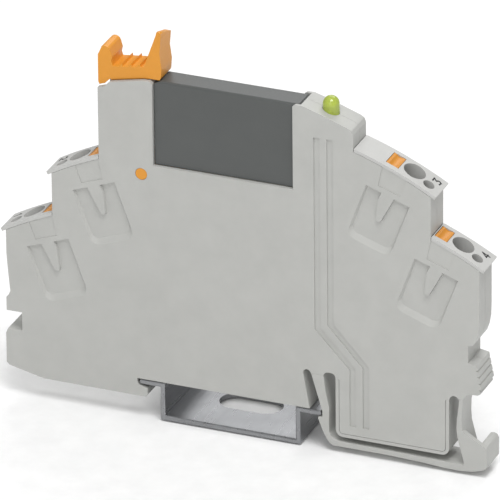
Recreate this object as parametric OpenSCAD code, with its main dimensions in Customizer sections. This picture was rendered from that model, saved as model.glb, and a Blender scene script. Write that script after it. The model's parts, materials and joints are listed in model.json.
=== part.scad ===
// Plug-in relay module, 6.2 mm wide, for a 35 mm top-hat rail.
// X runs along the module towards the coil side, Y across its thickness, Z away from the rail.
// Y = 0 is the middle of the module, Z = 0 is the bottom of the rail.
// Outlines are [x, z] points; their z is counted from the top of the rail flanges.

/* [Rail] */
// Width of the top-hat rail
rail_w = 35; // [35:0.1:35.2]
// Depth of the top-hat rail
rail_h = 7.5; // [7.5:0.1:8]
// Sheet thickness of the rail
rail_t = 1; // [0.9:0.05:1]
// Length of the rail section
rail_len = 20; // [16:1:60]

/* [Housing] */
// Thickness of the whole module
module_t = 6.2; // [6:0.1:6.4]
// Thickness of the front plate
front_t = 0.8; // [0.7:0.05:0.9]
// Thickness of the rear plate
rear_t = 0.6; // [0.5:0.05:0.7]
// Depth of the moulded pockets in the front plate
pocket_d = 0.55; // [0.3:0.05:0.6]
// Depth of the twin decorative channels
channel_d = 0.22; // [0.1:0.02:0.3]

/* [Terminals] */
// Diameter of a conductor funnel
funnel_d = 4.2; // [3.8:0.1:4.2]
// Diameter of a test socket
test_d = 2.2; // [2:0.1:2.3]
// Tilt of the terminal faces
tilt = 25; // [24:0.5:26]
// Travel of a push button
button_travel = 1.6; // [1:0.1:1.8]

/* [Relay] */
// Length of the plug-in relay
relay_w = 27.9; // [27.7:0.1:28]
// Height of the plug-in relay above its pins
relay_h = 16.05; // [15.9:0.05:16.1]
// Wall thickness of the relay case
case_t = 0.45; // [0.35:0.05:0.5]
// Diameter of the signal lamp
lamp_d = 3; // [2.8:0.1:3]

/* [Hidden] */

$fn = 48;
half_t = module_t / 2;
inner_front = -half_t + front_t;
inner_rear = half_t - rear_t;
gap = 0.05;

housing_grey = [0.76, 0.76, 0.74];
head_grey = [0.82, 0.82, 0.8];
relay_grey = [0.38, 0.39, 0.38];
lever_orange = [0.89, 0.6, 0.2];
zinc = [0.72, 0.74, 0.76];
copper = [0.8, 0.5, 0.3];
steel = [0.66, 0.67, 0.68];
board_green = [0.1, 0.35, 0.2];
cream = [0.86, 0.83, 0.74];

// ---- terminals: 0 and 1 on the contact side, 2 and 3 on the coil side ----

// Tip of the upper coil-side terminal face, in the front plane
tip_upper = [39.3, 45.9];
// Step from an upper terminal to the lower one beside it
tip_step = [9.1, -12.75];
// The contact side mirrors the coil side about this x and sits lower by side_drop
mirror_x = 2.25;
side_drop = 7.8;
tips = [
    [2 * mirror_x - tip_upper[0] - tip_step[0], tip_upper[1] + tip_step[1] - side_drop],
    [2 * mirror_x - tip_upper[0], tip_upper[1] - side_drop],
    tip_upper,
    tip_upper + tip_step
];
function side(i) = i < 2 ? -1 : 1;

// The terminal faces are crowned: arcs of this radius about a centre set back from the tip
crown_r = 76;
crown_x = 38;
crown_z = sqrt(crown_r * crown_r - crown_x * crown_x);
function crown_pt(i, dx, r) = [
    tips[i][0] + side(i) * dx,
    tips[i][1] + sqrt(r * r - pow(crown_x + dx, 2)) - crown_z
];
function crown_arc(i, dx0, dx1, r, n = 6) = [for (k = [0:n]) crown_pt(i, dx0 + (dx1 - dx0) * k / n, r)];

cap_t = 0.6;
overhang = 1;
cap_len = [10.1, 10.2, 15.5, 10.1];
under_r = crown_r - cap_t - gap;

// Places along the terminal face, measured inwards from the tip
test_s = 2.45;
funnel_s = 5.87;
button_s = 9.65;
button_w = 2.45;
button_y0 = -1.9;
button_y1 = 2.1;
funnel_y = 0.2;
test_y = -0.95;
head_deep = 6.4;
head_y0 = inner_front + gap;
head_y1 = inner_rear - gap;

// ---- extrusion and placing helpers ----

// An [x, z] shape drawn from y0 to y1
module slab(y0, y1)
    translate([0, y1, rail_h]) rotate([90, 0, 0]) linear_extrude(y1 - y0) children();

// A round rod along Y
module rod_y(p, r, y0, y1)
    translate([p[0], y1, p[1] + rail_h]) rotate([90, 0, 0]) cylinder(h = y1 - y0, r = r);

// A box given by its two corners, z from the flange top
module block(a, b)
    translate([a[0], a[1], a[2] + rail_h]) cube(b - a);

// Moves a 2D shape drawn in a terminal's own tilted axes to its place
module at_face_2d(i)
    translate(tips[i]) mirror([i < 2 ? 1 : 0, 0]) rotate(-tilt) children();

// The same for a solid: local x runs outwards along the face, local z out of it
module at_face(i)
    translate([tips[i][0], 0, tips[i][1] + rail_h])
        mirror([i < 2 ? 1 : 0, 0, 0]) rotate([0, tilt, 0]) children();

// A band of constant width along a row of points, with mitred corners and flat ends
function unit(v) = v / norm(v);
function turned(v) = [-v[1], v[0]];
function heading(points, k) = unit(points[k + 1] - points[k]);
function band_edge(points, k, half_w) = let (
    last = len(points) - 1,
    before = turned(heading(points, max(k - 1, 0))),
    after = turned(heading(points, min(k, last - 1))),
    corner = unit(before + after)
) points[k] + corner * half_w / (corner * before);
module band(points, w) {
    last = len(points) - 1;
    polygon(concat(
        [for (k = [0:last]) band_edge(points, k, w / 2)],
        [for (k = [last:-1:0]) band_edge(points, k, -w / 2)]
    ));
}

function arc(c, r, a0, a1, n = 6) = [for (k = [0:n])
    let (a = a0 + (a1 - a0) * k / n) c + r * [cos(a), sin(a)]];

// ---- the housing outline, clockwise from the notch at the lower left ----

foot_cut_z = 7.2;
under_z = 0.12;
hook_clear = 0.35;
flange_end = rail_w / 2;
wall_1 = tips[0][0] + overhang;
wall_4 = tips[3][0] - overhang;

left_side = [[-40.1, 5.6], [-40.1, 9.2], [-43.1, 9.2], [-43.1, 11.8], [-42.6, 12.4], [-42.3, 13.2],
    [-42.6, 16.5], [wall_1, 20.5]];
column_top = [[-24.6, 56.4], [-23.2, 56.85], [-22.3, 57.8], [-16, 59.1], [-14.75, 59.15], [-14.2, 58.7]];
relay_recess = [[-14.2, 42.8], [12.4, 42.8]];
lamp_block = [[12.4, 58.9], [12.9, 59.3], [14.2, 59.3], [17, 58.45], [22.9, 56.35], [23.5, 55.95],
    [23.8, 55.2]];
bulge = [[wall_4, 24], [47.35, 21.8], [47.05, 20], [46.6, 18.7], [46.1, 18.1], [45.3, 17.9], [45.3, 14.6]];
// Four saw-tooth finger ribs beside the rail foot
rib_pitch = 1.22;
rib_d = 0.45;
rib_top = [46.9, 14.3];
rib_lean = 0.25;
ribs = [for (k = [0:3], p = [[0.1, 0], [0.25, -rib_pitch + 0.3], [0.25 - rib_d, -rib_pitch + 0.25]])
    rib_top + [p[0] + rib_lean * k, p[1] - rib_pitch * k]];
foot_roots = concat(
    [[47.7, 8.9], [47.2, 8.55], [45.5, 8.4], [44.8, 8], [44.4, foot_cut_z], [43.6, foot_cut_z]],
    arc([42.72, 6.75], 0.9, 30, 165)
);
slot_top = concat([[17.95, foot_cut_z], [15.55, foot_cut_z]], arc([14.8, 7.1], 0.75, 10, 175));
rail_seat = [[15.3, under_z], [-flange_end - hook_clear, under_z], [-flange_end - hook_clear, -0.6],
    [-17.6, -1.12], [-16.9, -1.3], [-15.9, -1.6], [-15.9, -2.9], [-16.3, -3.35]];

// Foot block between the two rail-foot legs; inset 0 is the rear shell's rim, more is the front plate
rim_w = 0.62;
function foot_block(inset) = concat(
    [[41.75 - inset, inset > 0 ? 6.45 : 6.6]],
    arc([40.35, -3], 1.4 - inset, 0, -90),
    arc([21.65, -3], 1.4 - inset, -90, -180),
    [[20.25 + inset, inset > 0 ? 6.8 : 7]]
);
void_left_top = concat(arc([19.45, 7.15], 0.75, 10, 90, 4), arc([18.75, 7.1], 0.8, 90, 172, 4));

// Lower left base: the rear shell's outer line, and the front plate's line inside its rim
base_outer = [[-36, -3.3], [-42.8, -1.75], [-43.3, -1.2], [-43.3, 4.6], [-42.9, 5.6]];
base_inner = [[-24.7, -3.3], [-24.7, -2.85], [-36.1, -2.72], [-42.45, -1.1], [-42.55, 5.2], [-42.4, 5.6]];

function outline(inset) = concat(
    left_side,
    crown_arc(0, -overhang, -cap_len[0], under_r),
    crown_arc(1, -overhang, -cap_len[1], under_r),
    column_top, relay_recess, lamp_block,
    crown_arc(2, -cap_len[2], -overhang, under_r),
    crown_arc(3, -cap_len[3], -overhang, under_r),
    bulge, ribs, foot_roots, foot_block(inset), void_left_top, slot_top, rail_seat,
    inset > 0 ? base_inner : base_outer
);

// ---- hollows ----

module main_hollow() {
    polygon([[-38.9, 1.3], [12.8, 1.3], [12.8, 9], [22, 9], [22, -2.4], [39.9, -2.4], [39.9, 9],
        [44.1, 10.2], [44.1, 19], [46.2, 20.6], [46.4, 31], [37.2, 33.5], [37.2, 42.5], [22.7, 48],
        [22.7, 41.6], [-15, 41.6], [-18, 37.8], [-23.6, 37.8], [-32.8, 34.5], [-32.8, 25],
        [-41.8, 21.5], [-41.8, 14], [-38.9, 13]]);
}

// Shaft in the column where the ejector lever stands and swings out to the left
module lever_shaft() {
    polygon([[-26, 46.2], [-23.8, 46.2], [-22.5, 44.4], [-19.6, 37.7], [-14.8, 37.7], [-13, 41.4],
        [-13, 46.4], [-15.05, 46.4], [-15.05, 60], [-22, 60], [-22, 58.5], [-26, 58.5]]);
}

relay_x0 = -14.1;
relay_z0 = 43.15;
// Lower edge of the relay's skirt, just above the cut-out's edge
case_z0 = 42.9;
lamp_x = 18.5;

// Slot that takes a terminal head and the clamp below it
module terminal_slot(i) {
    at_face_2d(i) translate([-11.25, -13]) square([10.3, 14]);
}

// Guide for a push button, as deep as the button goes when it is pressed
module button_slot(i) {
    at_face_2d(i) translate([-button_s - button_w / 2 - 0.1, -8.7]) square([button_w + 0.2, 8.7]);
}

module hollow() {
    main_hollow();
    lever_shaft();
    for (i = [0:3]) intersection() {
        terminal_slot(i);
        translate([-60, 0]) square([60 - 24.6, 60]);
    }
    intersection() {
        for (i = [2:3]) terminal_slot(i);
        translate([23.8, 0]) square([40, 60]);
    }
    translate([relay_x0 - gap, relay_z0 - 0.3]) square([relay_w + 2 * gap, 20]);
    // open floor between the relay and its socket; the lever's finger rises through its left end
    translate([relay_x0 - gap, 41.3]) square([13.65 - relay_x0 + gap, 2]);
    // room for the lamp's flange, its leads and the board's arm
    translate([lamp_x - 2.4, 49]) square([4.8, 6.95]);
    translate([lamp_x - 2.4, 40]) square([5.75, 10]);
    // room for button 2 where it reaches under the lever's column
    button_slot(1);
}

// ---- surface detail of the front plate ----

pocket_tilt = 20;
// Middle of the top edge of the upper coil-side pocket
pocket_at = [30.25, 44.6] - tip_upper;

module at_pocket(i)
    translate(tips[i]) mirror([i < 2 ? 1 : 0, 0]) translate(pocket_at) rotate(-pocket_tilt) children();

pocket_w = 8.7;
pocket_h = 11.3;
tongue_w = 2.5;
tongue_len = 5.6;
tip_round = 0.5;
shoulder = 1.6;
foot_round = 1.7;
pocket_steps = 4;
pocket_slope = 0.5;
foot_slope = 1.15;

// Corner of the pocket's foot: its rounding shrinks and the foot rises towards the floor
function pocket_corner(s, b, foot_b, a0, a1) =
    let (middle = [s * (pocket_w / 2 - foot_round), foot_round + 0.2 - pocket_h])
    [for (p = arc(middle, foot_round - b * 0.9, a0, a1, pocket_steps)) p + [0, foot_b - b * 0.9]];

// Tongue side of the U: its left flank has a shoulder and its right flank tapers evenly
taper = (tongue_w / 2 - tip_round) / (tongue_len - tip_round);
function tongue_side(b) = concat(
    [[-tongue_w / 2 - b * 0.3, -b * 0.3], [-tongue_w / 2 - 0.1 - b * 0.3, -shoulder]],
    arc([0, tip_round - tongue_len], tip_round + b * 0.3, -180, 0, 2 * pocket_steps - 1),
    [[tongue_w / 2 - shoulder * taper + b * 0.3, -shoulder], [tongue_w / 2 + b * 0.3, -b * 0.3]]
);

// Outer side of the U, with as many points as the tongue side
function rim_side(b, foot_b) = concat(
    [[-pocket_w / 2 + b * 0.6, -b * 0.3]],
    pocket_corner(-1, b, foot_b, -180, -90),
    pocket_corner(1, b, foot_b, -90, 0),
    [[pocket_w / 2 - b * 0.6, -b * 0.3]]
);

function facing(flip, t) = flip ? [t[2], t[1], t[0]] : t;

// A pocket with sloping walls, wide at the surface and narrow at its floor, built from triangles
module pocket(i) {
    mouth = concat(tongue_side(0), rim_side(0, 0));
    floor_line = concat(tongue_side(pocket_slope), rim_side(pocket_slope, foot_slope));
    n = len(tongue_side(0));
    ring = 2 * n;
    place = function(p) let (q = [p[0] * cos(pocket_tilt) + p[1] * sin(pocket_tilt) + pocket_at[0],
        -p[0] * sin(pocket_tilt) + p[1] * cos(pocket_tilt) + pocket_at[1]])
        [tips[i][0] + side(i) * q[0], tips[i][1] + q[1] + rail_h];
    levels = [[mouth, -half_t - 0.2], [mouth, -half_t], [floor_line, -half_t + pocket_d]];
    pts = [for (level = levels, p = level[0]) let (q = place(p)) [q[0], level[1], q[1]]];
    way_round = concat([for (k = [0:n - 1]) k], [for (k = [n - 1:-1:0]) n + k]);
    walls = [for (r = [0:1], k = [0:ring - 1])
        let (a = r * ring + way_round[k], b = r * ring + way_round[(k + 1) % ring])
        each [[a + ring, b + ring, b], [a + ring, b, a]]];
    lid = [for (k = [0:n - 2]) each [[k, k + 1, n + k + 1], [k, n + k + 1, n + k]]];
    base = [for (t = lid) [t[2], t[1], t[0]] + [2, 2, 2] * ring];
    polyhedron(points = pts, faces = [for (t = concat(lid, base, walls)) facing(i < 2, t)]);
}

// Shallow landing between a terminal face and its pocket
module landing(i) {
    slab(-half_t - 1, -half_t + 0.12) at_pocket(i)
        polygon([[-2.3, 1], [2.1, 1], [2.1, 5.2], [-2.9, 5.2]]);
}

// Twin channels running down the plate and round the foot block
channel_w = 1.15;
channel_runs = [
    [[16.9, 53.6], [16.9, 16.3], [23.5, 9.3], [23.5, -2]],
    [[19.35, 53.6], [19.35, 17.4], [26, 10.1], [26, -2]]
];
module channels() {
    slab(-half_t - 1, -half_t + channel_d) for (run = channel_runs) band(run, channel_w);
}

pivot = [-16.5, 40.8];
pivot_r = 1.1;

module lamp_bore() {
    translate([lamp_x, 0, 50 + rail_h]) cylinder(h = 12, r = lamp_d / 2 + gap);
}

// ---- housing ----

rim_gap = 0.08;

module front_shell() {
    color(housing_grey) difference() {
        union() {
            slab(-half_t, inner_front) polygon(outline(rim_w + rim_gap));
            slab(inner_front, 0) difference() {
                polygon(outline(rim_w + rim_gap));
                hollow();
                rim_zones();
            }
        }
        slab(-half_t - 1, 1) translate([-14.2, 42.8]) square([26.6, 20]);
        slab(-half_t + 0.5, 1) translate([relay_x0 - gap, relay_z0 - 0.3]) square([relay_w + 2 * gap, 17]);
        for (i = [0:3]) {
            pocket(i);
            landing(i);
        }
        channels();
        rod_y(pivot, pivot_r + gap, -half_t - 1, 1);
        lamp_bore();
    }
}

// The regions where the rear shell's walls come right to the front
module rim_zones() {
    polygon([[-50, -6], [-24.7, -6], [-24.7, -1.6], [-40.9, 0.5], [-40.9, 5.6], [-50, 5.6]]);
    polygon([[20.2, 8], [20.2, -5], [41.8, -5], [41.8, 8], [40.5, 8], [40.5, -3], [21.4, -3], [21.4, 8]]);
}

module rear_shell() {
    color(housing_grey) difference() {
        union() {
            slab(inner_rear, half_t) polygon(outline(0));
            slab(gap, inner_rear) difference() {
                polygon(outline(0));
                hollow();
            }
            // walls that reach past the parting line and frame the front plate
            slab(inner_front + gap, gap) intersection() {
                difference() {
                    polygon(outline(0));
                    hollow();
                }
                rim_zones();
            }
            slab(-half_t, inner_front + gap) difference() {
                intersection() {
                    polygon(outline(0));
                    rim_zones();
                }
                polygon(outline(rim_w));
            }
        }
        rod_y(pivot, pivot_r + gap, 0, half_t + 1);
        lamp_bore();
        back_detail();
    }
}

// Shallow mouldings on the rear plate: two label fields and the ejector-pin witness marks
module back_detail() {
    slab(half_t - 0.15, half_t + 1) {
        translate([-10, 14]) square([26, 20]);
        translate([24, 14]) square([14, 8]);
        for (p = [[-34, 8], [-28, 22], [-16, 50], [8, 6], [33, 30], [38, 12]]) translate(p) circle(d = 2.4);
    }
}

// ---- terminal heads and buttons ----

module head_cap_2d(i) {
    inner_end = -cap_len[i] + 2 * gap;
    polygon(concat(
        crown_arc(i, inner_end, 0, crown_r, 8),
        crown_arc(i, -cap_t / 2, inner_end, crown_r - cap_t, 8)
    ));
}

module terminal_head(i) {
    color(head_grey) difference() {
        union() {
            slab(-half_t, half_t) head_cap_2d(i);
            slab(head_y0, head_y1) intersection() {
                at_face_2d(i) translate([-11.2, -head_deep]) square([10.2, head_deep + 1]);
                head_body_limit(i);
            }
        }
        at_face(i) {
            translate([-funnel_s, funnel_y, -head_deep - 1]) cylinder(h = head_deep + 3, d = funnel_d);
            translate([-test_s, test_y, -head_deep - 1]) cylinder(h = head_deep + 3, d = test_d);
            translate([-button_s - button_w / 2 - gap, button_y0 - gap, -head_deep - 1])
                cube([button_w + 2 * gap, button_y1 - button_y0 + 2 * gap, head_deep + 3]);
        }
    }
}

// Keeps a head's body under its cap and beside the wall next to it
module head_body_limit(i) {
    polygon(concat(
        crown_arc(i, -cap_len[i] + 2 * gap, -cap_t / 2, crown_r - cap_t + 0.02, 8),
        [tips[i] + [side(i) * -0.3, -14], tips[i] + [side(i) * (-cap_len[i] + 2 * gap), -14]]
    ));
}

button_top = 0.15;
module push_button(i) {
    bx = -button_s - button_w / 2;
    color(lever_orange) at_face(i) difference() {
        union() {
            translate([bx, button_y0, -5.6]) cube([button_w, button_y1 - button_y0, 5.6 + button_top]);
            // foot that bears on the clamp spring
            translate([bx + 0.3, button_y0 + 0.5, -6.6]) cube([button_w - 0.6, 3, 1.1]);
        }
        // driver rest across the top
        translate([bx + button_w / 2, button_y0 - 1, button_top + 1.05]) rotate([-90, 0, 0])
            cylinder(h = 6, r = 1.25);
    }
}

// ---- clamps ----

strip_t = 0.35;
bend_r = 0.9;
bend_at = [-10.35, -8.4];
bar_s = 4.75;
clamp_y0 = -1.6;
clamp_y1 = 1.9;

// Leaf spring in one outline: an anchor leg, a bend and the leg that presses the wire on the bar
spring_path = concat(
    [bend_at + [strip_t / 2 - bend_r, -4]],
    arc(bend_at, bend_r - strip_t / 2, 180, 0, 16),
    [bend_at + [bend_r - strip_t / 2, -0.3], bend_at + [2, -0.9], [-bar_s - 0.35, bend_at[1] - 2.6]]
);
module clamp_spring(i) {
    color(steel) slab(clamp_y0, clamp_y1) at_face_2d(i) band(spring_path, strip_t);
}

// Tinned copper bar: contact plate beside the wire, then a flat strip to the socket or board
bar_runs = [
    [[-36.2, 16.2], [-31, 9.5], [-8, 9.5], [-2.7, 20], [-2.7, 37.6]],
    [[-27.2, 29], [-24, 24], [-5.4, 24], [1.2, 30.6], [1.2, 37.6]],
    [[31.7, 36.8], [29.5, 34.5], [29.5, 30.5]],
    [[40.8, 24.1], [38, 22.5], [35, 22.5]]
];
strip_y0 = [-2, 1.35, 0.85, 0.85];
bar_w = 1.6;
strip_y_t = 0.5;

module current_bar(i) {
    color(copper) union() {
        at_face(i) translate([-bar_s, clamp_y0, -12.6]) cube([0.6, clamp_y1 - clamp_y0, 5.6]);
        slab(strip_y0[i], strip_y0[i] + strip_y_t) band(concat([bar_foot(i)], bar_runs[i]), bar_w);
    }
}

// Lower end of the contact plate of a terminal
function bar_foot(i) = let (u = -bar_s + 0.3, n = -11.8)
    tips[i] + [side(i) * (u * cos(tilt) + n * sin(tilt)), -u * sin(tilt) + n * cos(tilt)];

// ---- electronics ----

board_y0 = 1.4;
board_y1 = 2.3;

module circuit_board() {
    color(board_green) difference() {
        slab(board_y0, board_y1)
            polygon([[2.4, 12], [37, 12], [37, 26], [32.6, 26.4], [31.5, 33], [21.8, 36], [21.8, 48.5],
                [16.4, 48.5], [16.4, 37.2], [2.4, 37.2]]);
        for (p = [[6, 35], [33.5, 14.5]]) rod_y(p, 0.8, 0, half_t);
    }
}

module bridge_rectifier() {
    color([0.12, 0.12, 0.13]) {
        block([24, -1.3, 23], [29, board_y0, 28]);
        for (x = [24.6, 27.8], z = [22.3, 28]) block([x, board_y0 - 0.4, z], [x + 0.6, board_y0, z + 0.7]);
    }
}

module flyback_diode() {
    color([0.15, 0.15, 0.16]) union() {
        translate([12, -0.1, 29 + rail_h]) rotate([0, 90, 0]) cylinder(h = 5, d = 2.6);
        translate([10.2, -0.1, 29 + rail_h]) rotate([0, 90, 0]) cylinder(h = 8.6, d = 0.7);
        for (x = [10.2, 18.1]) block([x, -0.35, 28.65], [x + 0.7, board_y0, 29.35]);
    }
}

module series_resistor() {
    color([0.72, 0.62, 0.45]) union() {
        translate([25.5, -0.1, 16 + rail_h]) rotate([0, 90, 0]) cylinder(h = 6.3, d = 2.3);
        for (x = [25.5, 30.6])
            translate([x, -0.1, 16 + rail_h]) rotate([0, 90, 0]) cylinder(h = 1.2, d = 2.6);
        translate([23.4, -0.1, 16 + rail_h]) rotate([0, 90, 0]) cylinder(h = 10.5, d = 0.6);
        for (x = [23.4, 33.3]) block([x, -0.35, 15.7], [x + 0.6, board_y0, 16.3]);
    }
}

lamp_base_z = 54.9;
lead_pitch = 2.54;
lead_half = 0.25;
module signal_lamp() {
    color([0.85, 0.9, 0.35]) {
        translate([lamp_x, 0, lamp_base_z + rail_h]) {
            cylinder(h = 1, r = lamp_d / 2 + 0.35 - 2 * gap);
            cylinder(h = 4.3, d = lamp_d);
            translate([0, 0, 4.3]) intersection() {
                sphere(d = lamp_d);
                cylinder(h = 3, d = lamp_d + 1);
            }
        }
        for (x = [lamp_x - lead_pitch / 2, lamp_x + lead_pitch / 2]) {
            block([x - lead_half, -lead_half, 49.2], [x + lead_half, lead_half, lamp_base_z + 0.1]);
            block([x - lead_half, -lead_half, 47.6], [x + lead_half, board_y0, 49.2]);
        }
    }
}

// ---- relay socket ----

pin_w = 1.2;
pin_t = 0.5;
pin_len = 4.2;
contact_pins = [-6.6, -2.7, 1.2];
coil_pins_x = [7.6, 11.4];
deck_z = 42.8;
carrier_z = 37.9;

module pin_slots(xs, grow, z0, z1)
    for (x = xs)
        block([x - pin_w / 2 - grow, -pin_t / 2 - grow, z0], [x + pin_w / 2 + grow, pin_t / 2 + grow, z1]);

module socket_carrier() {
    color(cream) difference() {
        block([-7.55, head_y0, carrier_z], [13.6, 1.3, deck_z]);
        pin_slots(concat(contact_pins, coil_pins_x), 0.35, carrier_z - 1, deck_z + 1);
        for (x = concat([contact_pins[1], contact_pins[2]], coil_pins_x))
            block([x - 0.95, head_y0 - 1, carrier_z - 1], [x + 0.95, 2, carrier_z + 1.2]);
    }
}

// Tulip contact: two strips either side of a pin, joined at the foot
module tulip(x, y0, y1) {
    for (s = [-1, 1])
        block([x - 0.5, s * 0.42 - 0.14, carrier_z + 0.9], [x + 0.5, s * 0.42 + 0.14, deck_z - 0.6]);
    block([x - 0.5, -0.56, carrier_z + 0.3], [x + 0.5, 0.56, carrier_z + 0.92]);
    block([x - 0.5, y0, carrier_z - 1], [x + 0.5, y1, carrier_z + 0.4]);
}

module socket_contacts_coil() {
    color(copper) for (x = coil_pins_x) tulip(x, -0.56, board_y0);
}
module socket_contact_common() {
    color(copper) tulip(contact_pins[1], strip_y0[0] + strip_y_t, 0.56);
}
module socket_contact_switched() {
    color(copper) tulip(contact_pins[2], -0.56, strip_y0[1]);
}

// ---- ejector lever ----

saddle = [[-21.95, 62.4], [-22.15, 61.5], [-21.9, 60.75]];
finger_ridges = [for (x = [-20.1, -18.4, -16.7], p = [[-0.55, 0], [0, 0.55], [0.12, 0]])
    [x + p[0], saddle_z(x + p[0]) + p[1]]];
function saddle_z(x) = 60.75 + (x + 21.9) * 0.115;

handle_line = concat(
    [[-24.5, 56.75], [-24.7, 57.2], [-24.7, 62.5], [-24.2, 63.6]],
    arc([-23.35, 63.35], 1.05, 125, 15, 5),
    saddle, finger_ridges,
    [[-15.9, 61.5], [-15.75, 62], [-13.6, 68]],
    arc([-13.15, 68.15], 0.5, 130, 20, 3),
    [[-12.7, 67.2], [-12.95, 64.4], [-12.6, 61.8], [-12.75, 59.8], [-12.95, 59.4],
    [-15.9, 59.4], [-22.5, 58.08], [-23.4, 57.12]]
);
arm_line = concat(
    [[-22, 59], [-15.2, 60.2], [-15.2, 46], [-14.7, 42.75]],
    [[-8.5, 42.7], [-8.3, 42.3], [-8.5, 41.9], [-13.6, 39.7]],
    arc(pivot, 2, -20, -170, 8),
    [[-18.6, 41.5], [-20.4, 46.6], [-23.2, 55.4]]
);

module ejector_lever() {
    color(lever_orange) union() {
        slab(-2.5, 2.5) polygon(handle_line);
        slab(inner_front + 2 * gap, inner_rear - 2 * gap) polygon(arm_line);
        rod_y(pivot, pivot_r, -half_t + 0.05, half_t - 0.05);
    }
}

// ---- flexible rail foot ----

leg_y1 = 1.9;
foot_body = concat(
    [[15.55, foot_cut_z], [17.65, 0.05], [17.65, -1.08], [16.85, -1.2], [16.85, -1.55], [17.15, -2.4],
    [17.7, -3.8], [18.4, -5.2], [19.3, -6.3], [19.8, -6.45], [30, -6.45], [36, -6.65], [41, -7],
    [44, -7.05], [46.4, -6.75], [48.2, -6.15], [48.9, -5.6], [48.9, -2.3], [48.6, -1.7], [48, -1.45],
    [47.3, -1.6], [47.2, -5.2], [46.8, -5.55], [46, -5.5], [44.6, -5.55], [44.2, -5.75], [40, -5.65],
    [30, -5.5], [21, -5.4]],
    [[20.1, -5.15], [19.3, -4.6], [18.95, -3.8], [18.95, -1.4], [19, 1], [18.3, 4.2], [17.95, foot_cut_z]]
);
right_leg = [[43.6, foot_cut_z], [44.4, foot_cut_z], [44.15, 5], [44.1, 3], [44.2, 1.2], [44.75, -1],
    [45.3, -3], [45.7, -4.6], [46.1, -5.6], [44.5, -5.62], [44.45, -5], [43.9, -2.8], [43.3, -0.4],
    [43.12, 1], [43.2, 3.2], [43.6, 6.2]];
front_cheek = [[44.1, 1.05], [48.4, -1.55], [47.9, -5.6], [45.7, -5.6], [45.2, -3], [44.6, -1]];

module rail_foot() {
    color(housing_grey) union() {
        slab(-half_t, half_t) polygon(foot_body);
        slab(-half_t, leg_y1) polygon(right_leg);
        slab(-half_t, -half_t + 0.9) polygon(front_cheek);
    }
}

// ---- rail ----

channel_half = 12.5;
module rail_section() {
    color(zinc) difference() {
        slab(-half_t, -half_t + rail_len) {
            polygon([[-flange_end, 0], [-flange_end, -rail_t], [-channel_half - rail_t, -rail_t],
                [-channel_half - rail_t, -rail_h], [channel_half + rail_t, -rail_h],
                [channel_half + rail_t, -rail_t], [flange_end, -rail_t], [flange_end, 0],
                [channel_half, 0], [channel_half, -rail_h + rail_t], [-channel_half, -rail_h + rail_t],
                [-channel_half, 0]]);
        }
        rail_slot();
    }
}

// Oblong fixing hole through the rail's base
slot_w = 6.2;
slot_l = 12;
slot_y = 7;
module rail_slot() {
    for (s = [-1, 1]) translate([s * (slot_l - slot_w) / 2, slot_y, -1]) cylinder(h = 4, d = slot_w);
    translate([-(slot_l - slot_w) / 2, slot_y - slot_w / 2, -1]) cube([slot_l - slot_w, slot_w, 4]);
}

// ---- plug-in relay ----

relay_x1 = relay_x0 + relay_w;
relay_z1 = relay_z0 + relay_h;
case_y0 = -2.5;
case_y1 = 2.44;
in_x0 = relay_x0 + case_t;
in_x1 = relay_x1 - case_t;
in_y0 = case_y0 + case_t;
in_y1 = case_y1 - case_t;
base_top = relay_z0 + 2;

module relay_case() {
    bevel = 0.35;
    color(relay_grey) difference() {
        intersection() {
            slab(case_y0, case_y1) polygon([[relay_x0, case_z0], [relay_x0, relay_z1 - 0.6],
                [relay_x0 + 1.1, relay_z1], [relay_x1 - 0.5, relay_z1], [relay_x1, relay_z1 - 0.5],
                [relay_x1, case_z0]]);
            translate([relay_x0 - 1, 0, rail_h]) rotate([90, 0, 90]) linear_extrude(relay_w + 2)
                polygon([[case_y0, case_z0], [case_y1, case_z0], [case_y1, relay_z1 - bevel],
                    [case_y1 - bevel, relay_z1], [case_y0 + bevel, relay_z1], [case_y0, relay_z1 - bevel]]);
        }
        block([in_x0, in_y0, case_z0 - 1], [in_x1, in_y1, relay_z1 - 0.75]);
    }
}

module relay_base() {
    color([0.2, 0.2, 0.2]) difference() {
        block([in_x0 + gap, in_y0 + gap, relay_z0 + 0.1], [in_x1 - gap, in_y1 - gap, base_top]);
        pin_slots(concat(contact_pins, coil_pins_x), 0.02, relay_z0 - 1, base_top + 1);
    }
}

coil_x0 = 1.6;
coil_x1 = 12.2;
coil_z = 53.2;
module coil_bar(x0, x1, w, h)
    translate([x0, 0, coil_z + rail_h]) rotate([90, 0, 90]) linear_extrude(x1 - x0) {
        square([w, h - w], center = true);
        for (s = [-1, 1]) translate([0, s * (h - w) / 2]) circle(d = w);
    }

core_w = 1.2;
core_h = 4.6;
tube_w = 2;
tube_h = 5.4;
wound_w = 3.5;
wound_h = 7.6;

module coil_bobbin() {
    color(cream) difference() {
        union() {
            coil_bar(coil_x0, coil_x1, tube_w, tube_h);
            for (x = [coil_x0, coil_x1 - 0.6])
                block([x, -1.85, coil_z - 4.1], [x + 0.6, 1.85, coil_z + 4.1]);
        }
        coil_bar(coil_x0 - 1, coil_x1 + 1, core_w + 0.04, core_h + 0.04);
    }
}

module coil_winding() {
    color(copper) difference() {
        coil_bar(coil_x0 + 0.62, coil_x1 - 0.62, wound_w, wound_h);
        coil_bar(coil_x0, coil_x1, tube_w + 0.04, tube_h + 0.04);
    }
}

core_x0 = 0.9;
module coil_core() {
    color(steel) coil_bar(core_x0, coil_x1 + 0.3, core_w, core_h);
}

yoke_z = 47.4;
module coil_yoke() {
    color(steel) union() {
        block([core_x0 - air_gap + 0.04, -1.8, yoke_z - 0.9], [coil_x1 + 1.1, 1.8, yoke_z]);
        block([coil_x1 + 0.3, -1.8, yoke_z - 0.9], [coil_x1 + 1.1, 1.8, coil_z + 2.6]);
    }
}

module coil_pins() {
    color(copper) pin_slots(coil_pins_x, 0, relay_z0 - pin_len, base_top + 0.6);
}

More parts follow.
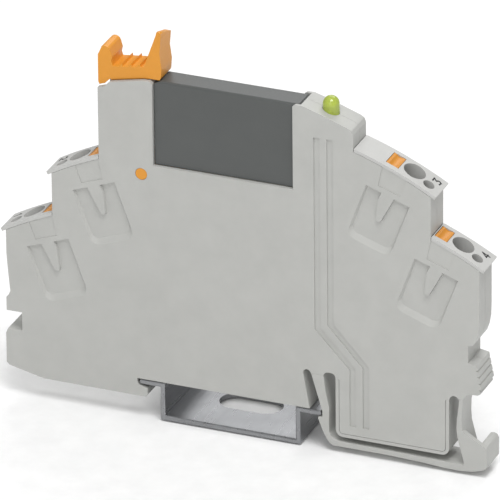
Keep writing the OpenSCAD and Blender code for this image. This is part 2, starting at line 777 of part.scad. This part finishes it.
// Armature: a hinged iron plate that the core pulls towards itself
air_gap = 0.4;
arm_t = 0.8;
arm_x0 = core_x0 - air_gap - arm_t;
arm_foot_z = yoke_z - 0.75;
module armature() {
    color(steel) union() {
        block([arm_x0, -1.7, arm_foot_z], [arm_x0 + arm_t, 1.7, coil_z + 3.6]);
        block([arm_x0 + 0.1, -0.6, coil_z + 3.5], [arm_x0 + arm_t - 0.1, 0.6, coil_z + 4.5]);
    }
}

// Insulating card that carries the armature's stroke to the contact blade
card_z0 = coil_z + 3.85;
card_z1 = coil_z + 4.7;
blade_x = contact_pins[1];
module actuator_card() {
    color(cream) difference() {
        block([blade_x - 1, -1.5, card_z0], [arm_x0 + arm_t + 0.58, 1.5, card_z1 + 0.2]);
        block([arm_x0 + 0.04, -0.7, card_z0 - 1], [arm_x0 + arm_t - 0.04, 0.7, card_z1 + 1]);
        block([blade_x - 0.21, -1.1, card_z0 - 1], [blade_x + 0.21, 1.1, card_z1 + 1]);
    }
}

rivet_z = 54.5;
rivet_r = 0.9;
blade_t = 0.3;
blade_foot = 46.2;
module rivet(x0, x1)
    translate([x0, 0, rivet_z + rail_h]) rotate([0, 90, 0]) cylinder(h = x1 - x0, r = rivet_r);

// Moving contact: a spring blade with a rivet on both sides
module moving_contact() {
    color(copper) union() {
        block([blade_x - blade_t / 2, -0.9, blade_foot + 0.02], [blade_x + blade_t / 2, 0.9, card_z1 + 0.3]);
        rivet(blade_x - 0.55, blade_x + 0.55);
    }
}

// Common pin that the blade is welded to
module common_pin() {
    color(copper) union() {
        pin_slots([blade_x], 0, relay_z0 - pin_len, base_top + 0.02);
        block([blade_x - 0.6, -0.9, base_top], [blade_x + 0.6, 0.9, blade_foot]);
    }
}

contact_gap = 0.35;
// Fixed contacts either side of the blade: x is the pin, dir points at the blade
module fixed_contact(pin_x, face_x, dir) {
    back = face_x - dir * 0.5;
    color(copper) union() {
        pin_slots([pin_x], 0, relay_z0 - pin_len, base_top + 0.02);
        block([min(pin_x - 0.6, back - 0.3), -0.9, base_top],
            [max(pin_x + 0.6, back + 0.3), 0.9, base_top + 0.6]);
        block([back - 0.3, -0.9, base_top], [back + 0.3, 0.9, rivet_z + 1.2]);
        rivet(min(back, face_x), max(back, face_x));
    }
}
module fixed_contact_open() {
    fixed_contact(contact_pins[2], blade_x + 0.55 + contact_gap, -1);
}
module fixed_contact_closed() {
    fixed_contact(contact_pins[0], blade_x - 0.56, 1);
}

front_shell();
rear_shell();
terminal_head(0);  // terminal_head_1
terminal_head(1);  // terminal_head_2
terminal_head(2);  // terminal_head_3
terminal_head(3);  // terminal_head_4
push_button(0);  // push_button_1
push_button(1);  // push_button_2
push_button(2);  // push_button_3
push_button(3);  // push_button_4
clamp_spring(0);  // clamp_spring_1
clamp_spring(1);  // clamp_spring_2
clamp_spring(2);  // clamp_spring_3
clamp_spring(3);  // clamp_spring_4
current_bar(0);  // current_bar_1
current_bar(1);  // current_bar_2
current_bar(2);  // current_bar_3
current_bar(3);  // current_bar_4
circuit_board();
bridge_rectifier();
flyback_diode();
series_resistor();
signal_lamp();
socket_carrier();
socket_contacts_coil();
socket_contact_common();
socket_contact_switched();
ejector_lever();
rail_foot();
rail_section();
relay_case();
relay_base();
coil_bobbin();
coil_winding();
coil_core();
coil_yoke();
coil_pins();
armature();
actuator_card();
moving_contact();
common_pin();
fixed_contact_open();
fixed_contact_closed();
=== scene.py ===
import json
import math

import bmesh
import bpy
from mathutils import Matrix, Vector
from mathutils.bvhtree import BVHTree


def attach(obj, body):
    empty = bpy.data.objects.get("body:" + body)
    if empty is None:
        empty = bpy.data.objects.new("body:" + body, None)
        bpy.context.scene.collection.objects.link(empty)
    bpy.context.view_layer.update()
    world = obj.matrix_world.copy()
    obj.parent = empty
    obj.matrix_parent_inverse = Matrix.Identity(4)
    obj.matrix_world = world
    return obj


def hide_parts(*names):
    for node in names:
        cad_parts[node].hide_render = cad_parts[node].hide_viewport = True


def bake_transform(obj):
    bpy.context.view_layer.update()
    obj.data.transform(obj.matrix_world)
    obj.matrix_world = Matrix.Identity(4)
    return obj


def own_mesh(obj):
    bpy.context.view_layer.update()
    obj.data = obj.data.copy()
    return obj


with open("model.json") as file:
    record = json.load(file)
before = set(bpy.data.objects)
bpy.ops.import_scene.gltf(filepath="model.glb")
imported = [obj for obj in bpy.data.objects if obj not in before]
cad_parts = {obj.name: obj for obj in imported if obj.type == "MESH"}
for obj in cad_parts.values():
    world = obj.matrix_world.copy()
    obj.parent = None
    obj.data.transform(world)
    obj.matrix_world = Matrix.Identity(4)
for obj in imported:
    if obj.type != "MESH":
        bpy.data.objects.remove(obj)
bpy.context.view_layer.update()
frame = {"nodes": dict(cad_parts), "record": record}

MM = 0.001
# Height of the rail's top above the origin, in mm
RAIL_H = 7.5
NODES = frame["nodes"]
RECORD = frame["record"]
SLOT_OF = {s["node"]: s["material_slot"] for s in RECORD["subparts"]}
BODY_OF = {n: b for b, ns in RECORD["behaviour"]["bodies"].items() for n in ns}


# ---- materials ----

def new_material(name):
    material = bpy.data.materials.new(name)
    material.use_nodes = True
    tree = material.node_tree
    return material, tree, tree.nodes["Principled BSDF"]


def noise(tree, scale, detail=4.0, roughness=0.6, stretch=None):
    place = tree.nodes.new("ShaderNodeTexCoord")
    texture = tree.nodes.new("ShaderNodeTexNoise")
    texture.inputs["Scale"].default_value = scale
    texture.inputs["Detail"].default_value = detail
    texture.inputs["Roughness"].default_value = roughness
    source = place.outputs["Object"]
    if stretch:
        mapping = tree.nodes.new("ShaderNodeMapping")
        mapping.inputs["Scale"].default_value = stretch
        tree.links.new(source, mapping.inputs["Vector"])
        source = mapping.outputs["Vector"]
    tree.links.new(source, texture.inputs["Vector"])
    return texture


def ramp(tree, source, low, high, dark, light):
    node = tree.nodes.new("ShaderNodeValToRGB")
    node.color_ramp.elements[0].position = low
    node.color_ramp.elements[1].position = high
    node.color_ramp.elements[0].color = dark
    node.color_ramp.elements[1].color = light
    tree.links.new(source, node.inputs["Fac"])
    return node


def bumped(tree, shader, source, strength, distance):
    bump = tree.nodes.new("ShaderNodeBump")
    bump.inputs["Strength"].default_value = strength
    bump.inputs["Distance"].default_value = distance
    tree.links.new(source, bump.inputs["Height"])
    tree.links.new(bump.outputs["Normal"], shader.inputs["Normal"])


def shaded(color, factor):
    return tuple(min(1.0, c * factor) for c in color) + (1.0,)


def plastic(name, color, rough, grain=5200.0, strength=0.18):
    """Moulded plastic: faint flow mottling in the colour and a spark-eroded grain."""
    material, tree, shader = new_material(name)
    mottle = noise(tree, 210.0, 5.0)
    tint = ramp(tree, mottle.outputs["Fac"], 0.3, 0.7, shaded(color, 0.965), shaded(color, 1.03))
    tree.links.new(tint.outputs["Color"], shader.inputs["Base Color"])
    fine = noise(tree, grain, 3.0)
    gloss = ramp(tree, fine.outputs["Fac"], 0.3, 0.7,
                 (rough - 0.05,) * 3 + (1.0,), (rough + 0.06,) * 3 + (1.0,))
    tree.links.new(gloss.outputs["Color"], shader.inputs["Roughness"])
    bumped(tree, shader, fine.outputs["Fac"], strength, 0.00002)
    shader.inputs["Specular IOR Level"].default_value = 0.42
    return material


def metal(name, color, rough, stretch):
    """Rolled or plated metal: lengthwise brushing and a cloudy plating."""
    material, tree, shader = new_material(name)
    cloud = noise(tree, 160.0, 4.0)
    tint = ramp(tree, cloud.outputs["Fac"], 0.3, 0.75, shaded(color, 0.86), shaded(color, 1.06))
    tree.links.new(tint.outputs["Color"], shader.inputs["Base Color"])
    lines = noise(tree, 900.0, 5.0, 0.6, stretch)
    gloss = ramp(tree, lines.outputs["Fac"], 0.3, 0.7,
                 (rough - 0.07,) * 3 + (1.0,), (rough + 0.1,) * 3 + (1.0,))
    tree.links.new(gloss.outputs["Color"], shader.inputs["Roughness"])
    shader.inputs["Metallic"].default_value = 1.0
    bumped(tree, shader, lines.outputs["Fac"], 0.12, 0.00002)
    return material


def wound_wire(name, color):
    """Enamelled wire: fine rings across the coil."""
    material, tree, shader = new_material(name)
    place = tree.nodes.new("ShaderNodeTexCoord")
    wave = tree.nodes.new("ShaderNodeTexWave")
    wave.inputs["Scale"].default_value = 1300.0
    wave.inputs["Distortion"].default_value = 0.6
    tree.links.new(place.outputs["Object"], wave.inputs["Vector"])
    tint = ramp(tree, wave.outputs["Fac"], 0.2, 0.8, shaded(color, 0.6), shaded(color, 1.15))
    tree.links.new(tint.outputs["Color"], shader.inputs["Base Color"])
    shader.inputs["Roughness"].default_value = 0.3
    bumped(tree, shader, wave.outputs["Fac"], 0.6, 0.00005)
    return material


def lens(name, color):
    """Tinted clear epoxy with faint flow lines."""
    material, tree, shader = new_material(name)
    flow = noise(tree, 500.0, 3.0)
    tint = ramp(tree, flow.outputs["Fac"], 0.3, 0.7, shaded(color, 0.94), shaded(color, 1.04))
    tree.links.new(tint.outputs["Color"], shader.inputs["Base Color"])
    shader.inputs["Transmission Weight"].default_value = 0.45
    shader.inputs["IOR"].default_value = 1.52
    shader.inputs["Roughness"].default_value = 0.12
    return material


MATERIALS = {
    "housing": plastic("housing", (0.45, 0.452, 0.432), 0.5),
    "terminal_head": plastic("terminal_head", (0.5, 0.5, 0.485), 0.5),
    "button": plastic("button", (0.62, 0.25, 0.024), 0.42),
    "lever": plastic("lever", (0.7, 0.29, 0.028), 0.42),
    "relay_case": plastic("relay_case", (0.084, 0.089, 0.087), 0.42),
    "relay_base": plastic("relay_base", (0.02, 0.02, 0.02), 0.5),
    "lamp_lens": lens("lamp_lens", (0.62, 0.74, 0.12)),
    "zinc_steel": metal("zinc_steel", (0.3, 0.305, 0.315), 0.3, (1.0, 0.06, 1.0)),
    "spring_steel": metal("spring_steel", (0.6, 0.61, 0.62), 0.28, (0.1, 1.0, 1.0)),
    "copper_alloy": metal("copper_alloy", (0.78, 0.5, 0.3), 0.3, (0.1, 1.0, 1.0)),
    "soft_iron": metal("soft_iron", (0.58, 0.57, 0.55), 0.36, (0.1, 1.0, 1.0)),
    "winding": wound_wire("winding", (0.5, 0.17, 0.06)),
    "circuit_board": plastic("circuit_board", (0.02, 0.12, 0.045), 0.32, 1500.0),
    "component_black": plastic("component_black", (0.02, 0.02, 0.022), 0.45),
    "resistor_body": plastic("resistor_body", (0.5, 0.38, 0.2), 0.35),
    "inner_plastic": plastic("inner_plastic", (0.66, 0.6, 0.46), 0.5),
}
INK = plastic("ink", (0.012, 0.012, 0.013), 0.6)


def placed(name, data):
    """A new object in the scene."""
    thing = bpy.data.objects.new(name, data)
    bpy.context.scene.collection.objects.link(thing)
    return thing


def give(obj, material):
    obj.data.materials.clear()
    obj.data.materials.append(material)
    for polygon in obj.data.polygons:
        polygon.material_index = 0


for name, node in NODES.items():
    give(node, MATERIALS[SLOT_OF[name]])


# ---- pieces with softened edges, cut from the CAD nodes ----

# Outer edges sharper than this are bevelled
SHARP = math.radians(28.0)
# The faces beside a bevel are at least this many widths long
ROOM = 2.6
# Vertices closer than this, in metres, are joined
WELD = 1e-6
# Faces that meet within this angle, in radians, are merged beside a bevel
MERGED = 0.002
# Faces that meet within this angle make one flat region
FLAT = math.radians(1.0)
# Edges flatter than CREASE are shaded round, and beside a bevel those flatter than ROUNDED
CREASE = math.radians(18.0)
ROUNDED = math.radians(50.0)
# A region narrower than this many widths is a bevel's own strip
STRIP = 0.8
# Triangles smaller than this, in square metres, aren't tested for folds
SPECK = 2e-9
# A triangle whose normal agrees less than this with the node's surface is folded
AGREEMENT = 0.2
# Edges within this many widths of a fold stay sharp in the next try
KEPT_OFF = 2.0
TRIES = 14
# A point on the cut that lowers the lever's horn, in mm, and the cut's slope
HORN_FRONT = (-13.2, -1.7, RAIL_H + 68.5)
HORN_FALL = 0.36


def roomy(edge, width):
    """True where the faces beside an edge have room for a bevel of this width."""
    for vert in edge.verts:
        for other in vert.link_edges:
            if other is not edge and other.calc_length() < ROOM * width:
                return False
    return True


def near(edge, points, reach):
    """True where an edge passes within reach of any of the points."""
    start, end = (v.co for v in edge.verts)
    along = end - start
    for point in points:
        share = max(0.0, min(1.0, (point - start).dot(along) / along.length_squared))
        if (start + share * along - point).length < reach:
            return True
    return False


def regions(bm):
    """Flat regions: for each face its region's number, and for each region its area and breadth."""
    number = {}
    areas = []
    breadths = []
    for start in bm.faces:
        if start in number:
            continue
        number[start] = len(areas)
        members = [start]
        for face in members:
            for edge in face.edges:
                for other in edge.link_faces:
                    if other not in number and edge.calc_face_angle(0.0) < FLAT:
                        number[other] = len(areas)
                        members.append(other)
        corners = [v.co for f in members for v in f.verts]
        reach = max((c - corners[0]).length for c in corners)
        areas.append(sum(f.calc_area() for f in members))
        breadths.append(areas[-1] / max(reach, 1e-7))
    return number, areas, breadths


def bevelled(node, width, left_sharp):
    """A bevelled copy of the node, and the corners of any triangle that faces against the node."""
    bm = bmesh.new()
    bm.from_mesh(NODES[node].data)
    bmesh.ops.remove_doubles(bm, verts=bm.verts, dist=WELD)
    surface = BVHTree.FromBMesh(bm)
    number = regions(bm)[0]
    outer = [e for e in bm.edges if len(e.link_faces) == 2 and e.is_convex
             and e.calc_face_angle(0.0) > SHARP and not near(e, left_sharp, KEPT_OFF * width)]
    beside = {number[face] for edge in outer for face in edge.link_faces}
    flat = [e for e in bm.edges if len(e.link_faces) == 2 and e.calc_face_angle(1.0) < MERGED
            and number[e.link_faces[0]] in beside]
    bmesh.ops.dissolve_edges(bm, edges=flat, use_verts=False, use_face_split=False)
    edges = [e for e in outer if e.is_valid and roomy(e, width)]
    bmesh.ops.bevel(bm, geom=edges, offset=width, offset_type="OFFSET", segments=2,
                    profile=0.5, affect="EDGES", clamp_overlap=True, miter_outer="SHARP")
    bmesh.ops.triangulate(bm, faces=[f for f in bm.faces if len(f.verts) > 3], ngon_method="EAR_CLIP")
    bm.normal_update()
    folded = []
    for face in bm.faces:
        under = surface.find_nearest(face.calc_center_median())[1]
        if face.calc_area() > SPECK and face.normal.dot(under) < AGREEMENT:
            folded.extend(v.co.copy() for v in face.verts)
    return bm, folded


def corner_normals(bm, width):
    """Normals that keep flat faces flat, creases crisp and bevels round."""
    number, areas, breadths = regions(bm)
    soft = {}
    for edge in bm.edges:
        strip = any(breadths[number[f]] < STRIP * width for f in edge.link_faces)
        soft[edge] = len(edge.link_faces) == 2 and edge.calc_face_angle(0.0) < (ROUNDED if strip else CREASE)
    normals = []
    for face in bm.faces:
        for loop in face.loops:
            reached = [face]
            for member in reached:
                for edge in member.edges:
                    if loop.vert in edge.verts and soft[edge]:
                        reached.extend(f for f in edge.link_faces if f not in reached)
            parts = {number[f]: f.normal for f in reached}
            total = sum((areas[k] * normal for k, normal in parts.items()), Vector())
            normals.append(total.normalized() if total.length > 0.0 else face.normal.copy())
    return normals


def lower_horn(bm):
    """The horn's top falls away towards the back of the lever."""
    where = Vector(HORN_FRONT) * MM
    slope = Vector((0.0, HORN_FALL, 1.0)).normalized()
    everything = bm.verts[:] + bm.edges[:] + bm.faces[:]
    cut = bmesh.ops.bisect_plane(bm, geom=everything, plane_co=where, plane_no=slope, clear_outer=True)
    rim = [e for e in cut["geom_cut"] if isinstance(e, bmesh.types.BMEdge)]
    cap = bmesh.ops.contextual_create(bm, geom=rim)["faces"]
    bmesh.ops.triangulate(bm, faces=cap)
    bmesh.ops.recalc_face_normals(bm, faces=bm.faces)
    bm.normal_update()


def softened(node, width_mm):
    """The node's own shape with its longer outer edges rounded and its creases kept crisp."""
    width = width_mm * MM
    left_sharp = []
    for _ in range(TRIES):
        bm, folded = bevelled(node, width, left_sharp)
        if not folded:
            break
        left_sharp.extend(folded)
    if node == "ejector_lever":
        lower_horn(bm)
    mesh = bpy.data.meshes.new(node + "_moulded")
    normals = corner_normals(bm, width)
    bm.to_mesh(mesh)
    bm.free()
    for polygon in mesh.polygons:
        polygon.use_smooth = True
    mesh.normals_split_custom_set(normals)
    piece = placed(node + "_moulded", mesh)
    give(piece, MATERIALS[SLOT_OF[node]])
    if node == "rail_foot":
        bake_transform(piece)
    else:
        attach(piece, BODY_OF[node])
    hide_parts(node)


# Width of each node's bevels, in mm
SOFT_EDGES = {
    "front_shell": 0.2, "rear_shell": 0.15, "rail_foot": 0.12,
    "ejector_lever": 0.16, "relay_case": 0.14, "rail_section": 0.3,
}
for k in range(1, 5):
    SOFT_EDGES["terminal_head_%d" % k] = 0.1
    SOFT_EDGES["push_button_%d" % k] = 0.1
for name, width in SOFT_EDGES.items():
    softened(name, width)


# ---- printed numerals on the terminal heads ----

# How far the heads' faces tilt, and the outer tip of each face above the rail, in mm
TILT = math.radians(25.0)
TIPS = [(-43.9, 25.35), (-34.8, 38.1), (39.3, 45.9), (48.4, 33.15)]
# Each numeral's strokes, as shares of its width and height
STROKES = [
    [(0.2, 0.75), (0.55, 1.0), (0.55, 0.0)],
    [(0.05, 0.8), (0.3, 1.0), (0.75, 1.0), (0.95, 0.75), (0.9, 0.55), (0.05, 0.0), (0.95, 0.0)],
    [(0.05, 1.0), (0.95, 1.0), (0.45, 0.6), (0.85, 0.45), (0.95, 0.25), (0.7, 0.0), (0.05, 0.05)],
    [(0.75, 0.0), (0.75, 1.0), (0.05, 0.3), (1.0, 0.3)],
]
# Sizes of a numeral, its place from the tip, and how far the ink stands proud and reaches in, in mm
NUMERAL_HIGH = 1.5
NUMERAL_WIDE = 0.95
NUMERAL_AT = (-0.95, 1.35)
STROKE_HALF = 0.14
INK_LIFT = 0.015
INK_SINK = 0.03
# Height above a face from which it is looked for, in mm
LOOK_FROM = 4.0


def numeral(i):
    """Thin strokes of ink that follow the crowned face of head i."""
    side = -1.0 if i < 2 else 1.0
    outward = Vector((side * math.cos(TILT), 0.0, -math.sin(TILT)))
    up_from_face = Vector((side * math.sin(TILT), 0.0, math.cos(TILT)))
    across = Vector((0.0, side, 0.0))
    tip = Vector((TIPS[i][0], 0.0, TIPS[i][1] + RAIL_H)) * MM
    head = bmesh.new()
    head.from_mesh(NODES["terminal_head_%d" % (i + 1)].data)
    surface = BVHTree.FromBMesh(head)
    head.free()
    bm = bmesh.new()

    def on_face(u, v):
        flat = tip + outward * (NUMERAL_AT[0] - v) * MM + Vector((0.0, NUMERAL_AT[1], 0.0)) * MM
        flat += across * (u - NUMERAL_WIDE / 2.0) * MM
        return surface.ray_cast(flat + up_from_face * LOOK_FROM * MM, -up_from_face)[0]

    for (u0, v0), (u1, v1) in zip(STROKES[i], STROKES[i][1:]):
        start = Vector((u0 * NUMERAL_WIDE, v0 * NUMERAL_HIGH))
        end = Vector((u1 * NUMERAL_WIDE, v1 * NUMERAL_HIGH))
        along = (end - start).normalized() * STROKE_HALF
        beside = Vector((-along.y, along.x))
        corners = [start - along + beside, start - along - beside]
        corners += [end + along - beside, end + along + beside]
        hits = [on_face(c.x, c.y) for c in corners]
        if None in hits:
            continue
        top = [bm.verts.new(h + up_from_face * INK_LIFT * MM) for h in hits]
        low = [bm.verts.new(h - up_from_face * INK_SINK * MM) for h in hits]
        bm.faces.new(top)
        bm.faces.new(low[::-1])
        for k in range(4):
            bm.faces.new((top[k - 1], top[k], low[k], low[k - 1]))
    bmesh.ops.recalc_face_normals(bm, faces=bm.faces)
    name = "numeral_%d" % (i + 1)
    mesh = bpy.data.meshes.new(name)
    bm.to_mesh(mesh)
    bm.free()
    piece = placed(name, mesh)
    give(piece, INK)
    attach(piece, "housing")


for i in range(len(TIPS)):
    numeral(i)


# ---- clamp springs, carried as fixed copies on the housing ----


def clamp_spring(i):
    """A copy of clamp spring i + 1, fixed to the housing in place of its node."""
    name = "clamp_spring_%d" % (i + 1)
    mesh = NODES[name].data.copy()
    mesh.transform(NODES[name].matrix_world)
    piece = placed(name + "_leaf", mesh)
    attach(piece, "housing")
    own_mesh(piece)
    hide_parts(name)


for i in range(4):
    clamp_spring(i)


# ---- camera, light and floor ----

AZIMUTH = math.radians(22.35)
ELEVATION = math.radians(26.21)
ROLL = math.radians(-0.575)
DISTANCE = 1661 * MM
TARGET = Vector((2.871, 0.0, 35.346)) * MM
FOCAL_LENGTH = 676.4
SENSOR = 36.0

toward = Vector((math.sin(AZIMUTH) * math.cos(ELEVATION), -math.cos(AZIMUTH) * math.cos(ELEVATION),
                 math.sin(ELEVATION)))
camera_data = bpy.data.cameras.new("camera")
camera_data.lens = FOCAL_LENGTH
camera_data.sensor_width = SENSOR
camera_data.clip_start = 0.1
camera_data.clip_end = 20.0
camera = placed("camera", camera_data)
camera.location = TARGET + toward * DISTANCE
camera.rotation_mode = "QUATERNION"
camera.rotation_quaternion = (-toward).to_track_quat("-Z", "Y")
camera.rotation_mode = "XYZ"
camera.rotation_euler.rotate_axis("Z", ROLL)
bpy.context.scene.camera = camera


def area_light(name, azimuth, elevation, far, size, power):
    """A square light aimed at the object, with its angles in degrees."""
    data = bpy.data.lights.new(name, "AREA")
    data.size = size
    data.energy = power
    lamp = placed(name, data)
    a = math.radians(azimuth)
    e = math.radians(elevation)
    out = Vector((math.sin(a) * math.cos(e), -math.cos(a) * math.cos(e), math.sin(e)))
    lamp.location = TARGET + out * far
    lamp.rotation_euler = (-out).to_track_quat("-Z", "Y").to_euler()


area_light("key", 35.0, 66.0, 0.6, 0.3, 2.3)
area_light("front", 5.0, 22.0, 0.9, 0.6, 1.4)
area_light("back", 190.0, 45.0, 0.6, 0.4, 1.3)

SKY = 0.42
FLOOR_HALF = 3.0
FLOOR_DROP = 0.0002

world = bpy.data.worlds.new("studio")
bpy.context.scene.world = world
world.use_nodes = True
world.node_tree.nodes["Background"].inputs["Color"].default_value = (1.0, 1.0, 1.0, 1.0)
world.node_tree.nodes["Background"].inputs["Strength"].default_value = SKY

floor_mesh = bpy.data.meshes.new("floor")
floor_bm = bmesh.new()
bmesh.ops.create_grid(floor_bm, x_segments=1, y_segments=1, size=FLOOR_HALF)
floor_bm.to_mesh(floor_mesh)
floor_bm.free()
floor = placed("floor", floor_mesh)
floor.location.z = -FLOOR_DROP
give(floor, plastic("floor_paint", (0.97, 0.97, 0.97), 0.8, 900.0, 0.02))
bpy.context.scene.view_settings.view_transform = "Standard"

bpy.context.view_layer.update()
